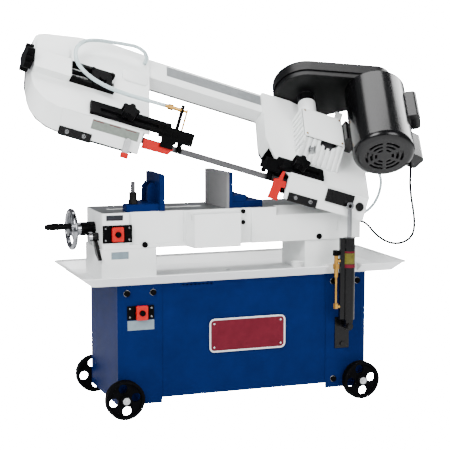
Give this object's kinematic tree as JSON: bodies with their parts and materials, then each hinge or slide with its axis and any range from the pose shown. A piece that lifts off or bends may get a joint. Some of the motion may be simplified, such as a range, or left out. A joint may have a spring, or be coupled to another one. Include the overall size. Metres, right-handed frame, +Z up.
{
  "type": "band saw",
  "caption": "Horizontal metal-cutting band saw on a wheeled cabinet stand, with tilting bow, blade wheels, vise, motor, worm gearbox, chip tray and feed cylinder.",
  "frame": {"origin": "middle of the footprint box, on the floor", "axes": "+X towards the motor end along the machine, +Y to the back, away from the operator, +Z up"},
  "size_m": [1.2777, 0.5199, 1.154],
  "materials": {
    "blue_paint": "gloss enamel",
    "white_paint": "gloss enamel",
    "black_paint": "satin",
    "red_paint": "gloss",
    "badge_red": "gloss",
    "bare_steel": "turned",
    "dark_steel": "ground",
    "chrome": "polished",
    "cast_grey": "as cast",
    "brass": "plain",
    "black_rubber": "matte",
    "black_plastic": "moulded",
    "red_plastic": "gloss",
    "white_plastic": "moulded",
    "clear_hose": "translucent"
  },
  "bodies": {
    "stand": {"left_leg": "blue_paint", "right_leg": "blue_paint", "cabinet_panels": "blue_paint", "chip_tray": "white_paint", "bed_feet": "white_paint", "bed": "white_paint", "fixed_jaw": "blue_paint", "fixed_jaw_face": "dark_steel", "name_plates": "badge_red", "switch_boxes": "black_plastic", "stand_hardware": "bare_steel", "coolant_tank": "white_plastic", "drain_funnel": "white_plastic", "damper_bracket": "black_paint"},
    "head": {"bow_casting": "white_paint", "pivot_shaft": "black_paint", "edge_plates": "black_paint", "gearbox": "white_paint", "gearbox_lid": "white_paint", "belt_guard": "black_paint", "motor": "black_paint", "drive_belt": "black_rubber", "tension_guide": "black_paint", "blade": "bare_steel", "damper_mount": "black_paint", "coolant_hose": "clear_hose", "supply_hose": "clear_hose", "motor_cable": "black_rubber"},
    "switch_top": {"rocker_upper": "red_plastic"},
    "switch_low": {"rocker_lower": "red_plastic"},
    "wheel_front_left": {"cart_wheel_fl": "black_rubber"},
    "wheel_front_right": {"cart_wheel_fr": "black_rubber"},
    "wheel_back_left": {"cart_wheel_bl": "black_rubber"},
    "wheel_back_right": {"cart_wheel_br": "black_rubber"},
    "vise_jaw": {"movable_jaw": "blue_paint"},
    "jaw_stud": {"lock_stud": "bare_steel"},
    "vise_screw": {"leadscrew": "bare_steel", "handwheel": "chrome"},
    "grip": {"handwheel_grip": "black_plastic"},
    "lever": {"release_lever": "black_paint"},
    "cylinder": {"damper_cylinder": "black_paint", "damper_valve": "brass"},
    "valve_knob": {"damper_knob": "black_plastic"},
    "rod": {"damper_rod": "chrome"},
    "cover": {"wheel_cover": "black_paint"},
    "latch": {"cover_latch": "black_paint"},
    "guard_lid": {"belt_guard_lid": "black_paint"},
    "rotor": {"motor_rotor": "bare_steel"},
    "worm": {"input_worm": "bare_steel"},
    "driver": {"drive_wheel": "cast_grey"},
    "tensioner": {"tension_block": "black_paint"},
    "idler": {"idler_wheel": "cast_grey"},
    "tension_screw": {"tension_knob": "black_plastic"},
    "arm_left": {"guide_left": "black_paint", "red_guard_left": "red_paint", "coolant_valve": "brass"},
    "arm_right": {"guide_right": "black_paint", "red_guard_right": "red_paint"},
    "clamp_left": {"knob_left": "black_plastic"},
    "clamp_right": {"knob_right": "black_plastic"}
  },
  "joints": [
    {"name": "head_tilt", "type": "hinge", "parent": "stand", "child": "head", "pos_m": [0.411, 0.05, 0.615], "axis": [0, 1, 0], "range_deg": [-17, 30], "deforming": ["motor_cable", "supply_hose"]},
    {"name": "switch_top_rock", "type": "hinge", "parent": "stand", "child": "switch_top", "pos_m": [-0.356, -0.0685, 0.554], "axis": [1, 0, 0], "range_deg": [-5, 5]},
    {"name": "switch_low_rock", "type": "hinge", "parent": "stand", "child": "switch_low", "pos_m": [-0.296, -0.1165, 0.319], "axis": [1, 0, 0], "range_deg": [-5, 5]},
    {"name": "wheel_front_left_roll", "type": "hinge", "parent": "stand", "child": "wheel_front_left", "pos_m": [-0.357, -0.139, 0.06], "axis": [0, 1, 0], "continuous": true},
    {"name": "wheel_front_right_roll", "type": "hinge", "parent": "stand", "child": "wheel_front_right", "pos_m": [0.423, -0.139, 0.06], "axis": [0, 1, 0], "continuous": true},
    {"name": "wheel_back_left_roll", "type": "hinge", "parent": "stand", "child": "wheel_back_left", "pos_m": [-0.357, 0.2315, 0.06], "axis": [0, 1, 0], "continuous": true},
    {"name": "wheel_back_right_roll", "type": "hinge", "parent": "stand", "child": "wheel_back_right", "pos_m": [0.423, 0.2315, 0.06], "axis": [0, 1, 0], "continuous": true},
    {"name": "vise_screw_turn", "type": "hinge", "parent": "stand", "child": "vise_screw", "pos_m": [-0.361, 0.035, 0.562], "axis": [1, 0, 0], "range_deg": [-9880, 2990]},
    {"name": "vise_jaw_slide", "type": "slide", "parent": "stand", "child": "vise_jaw", "axis": [1, 0, 0], "range_m": [-0.05, 0.165]},
    {"name": "jaw_stud_turn", "type": "hinge", "parent": "vise_jaw", "child": "jaw_stud", "pos_m": [-0.297, -0.033, 0.65], "axis": [0, 0, 1], "range_deg": [-90, 0]},
    {"name": "grip_spin", "type": "hinge", "parent": "vise_screw", "child": "grip", "pos_m": [-0.521, -0.023, 0.579], "axis": [1, 0, 0], "continuous": true},
    {"name": "lever_turn", "type": "hinge", "parent": "stand", "child": "lever", "pos_m": [-0.409, -0.008, 0.541], "axis": [1, 0, 0], "range_deg": [-30, 20]},
    {"name": "cylinder_swing", "type": "hinge", "parent": "stand", "child": "cylinder", "pos_m": [0.371, -0.153, 0.24], "axis": [0, 1, 0], "range_deg": [-0.7, 1.1]},
    {"name": "rod_extend", "type": "slide", "parent": "cylinder", "child": "rod", "axis": [0, 0, 1], "range_m": [-0.014, 0.022]},
    {"name": "valve_knob_turn", "type": "hinge", "parent": "cylinder", "child": "valve_knob", "pos_m": [0.327, -0.153, 0.475], "axis": [0, 0, 1], "range_deg": [0, 720]},
    {"name": "cover_open", "type": "hinge", "parent": "head", "child": "cover", "pos_m": [-0.07787, -0.12263, 0.72612], "axis": [-0.9563, 0, 0.2924], "range_deg": [0, 28]},
    {"name": "latch_turn", "type": "hinge", "parent": "head", "child": "latch", "pos_m": [-0.3427, -0.141, 0.83811], "axis": [0, 1, 0], "range_deg": [0, 90]},
    {"name": "guard_lid_open", "type": "hinge", "parent": "head", "child": "guard_lid", "pos_m": [0.29776, 0.16234, 0.89447], "axis": [-0.9563, 0, 0.2924], "range_deg": [0, 70]},
    {"name": "motor_spin", "type": "hinge", "parent": "head", "child": "rotor", "pos_m": [0.48494, -0.13182, 0.84316], "axis": [0.2067, 0.7071, 0.6762], "continuous": true},
    {"name": "worm_spin", "type": "hinge", "parent": "head", "child": "worm", "pos_m": [0.2773, -0.05616, 0.82753], "axis": [0.2067, 0.7071, 0.6762], "continuous": true},
    {"name": "drive_wheel_spin", "type": "hinge", "parent": "head", "child": "driver", "pos_m": [0.30707, -0.00101, 0.76075], "axis": [0.2067, -0.7071, 0.6762], "continuous": true},
    {"name": "tension_slide", "type": "slide", "parent": "head", "child": "tensioner", "axis": [-0.9563, 0, 0.2924], "range_m": [-0.005, 0]},
    {"name": "idler_wheel_spin", "type": "hinge", "parent": "tensioner", "child": "idler", "pos_m": [-0.40251, -0.00101, 0.97769], "axis": [0.2067, -0.7071, 0.6762], "continuous": true},
    {"name": "tension_knob_turn", "type": "hinge", "parent": "head", "child": "tension_screw", "pos_m": [-0.62639, -0.0399, 1.0868], "axis": [-0.9563, 0, 0.2924], "range_deg": [-901, 0]},
    {"name": "guide_left_slide", "type": "slide", "parent": "head", "child": "arm_left", "axis": [-0.9563, 0, 0.2924], "range_m": [-0.07, 0.03], "deforming": ["coolant_hose"]},
    {"name": "guide_right_slide", "type": "slide", "parent": "head", "child": "arm_right", "axis": [-0.9563, 0, 0.2924], "range_m": [0, 0.03]},
    {"name": "clamp_left_turn", "type": "hinge", "parent": "head", "child": "clamp_left", "pos_m": [-0.34019, -0.13111, 0.91131], "axis": [0.2067, -0.7071, 0.6762], "range_deg": [0, 360]},
    {"name": "clamp_right_turn", "type": "hinge", "parent": "head", "child": "clamp_right", "pos_m": [0.20395, -0.13111, 0.74496], "axis": [0.2067, -0.7071, 0.6762], "range_deg": [0, 360]}
  ],
  "couplings": [
    {"joint": "vise_jaw_slide", "follows": "vise_screw_turn", "m_per_rad": -0.00095493},
    {"joint": "cylinder_swing", "follows": "head_tilt", "ratio": 0.026},
    {"joint": "rod_extend", "follows": "head_tilt", "m_per_rad": 0.0388},
    {"joint": "worm_spin", "follows": "motor_spin", "ratio": 0.42667},
    {"joint": "drive_wheel_spin", "follows": "motor_spin", "ratio": 0.014222},
    {"joint": "idler_wheel_spin", "follows": "motor_spin", "ratio": 0.014222},
    {"joint": "tension_knob_turn", "follows": "tension_slide", "rad_per_m": 3141.6}
  ]
}
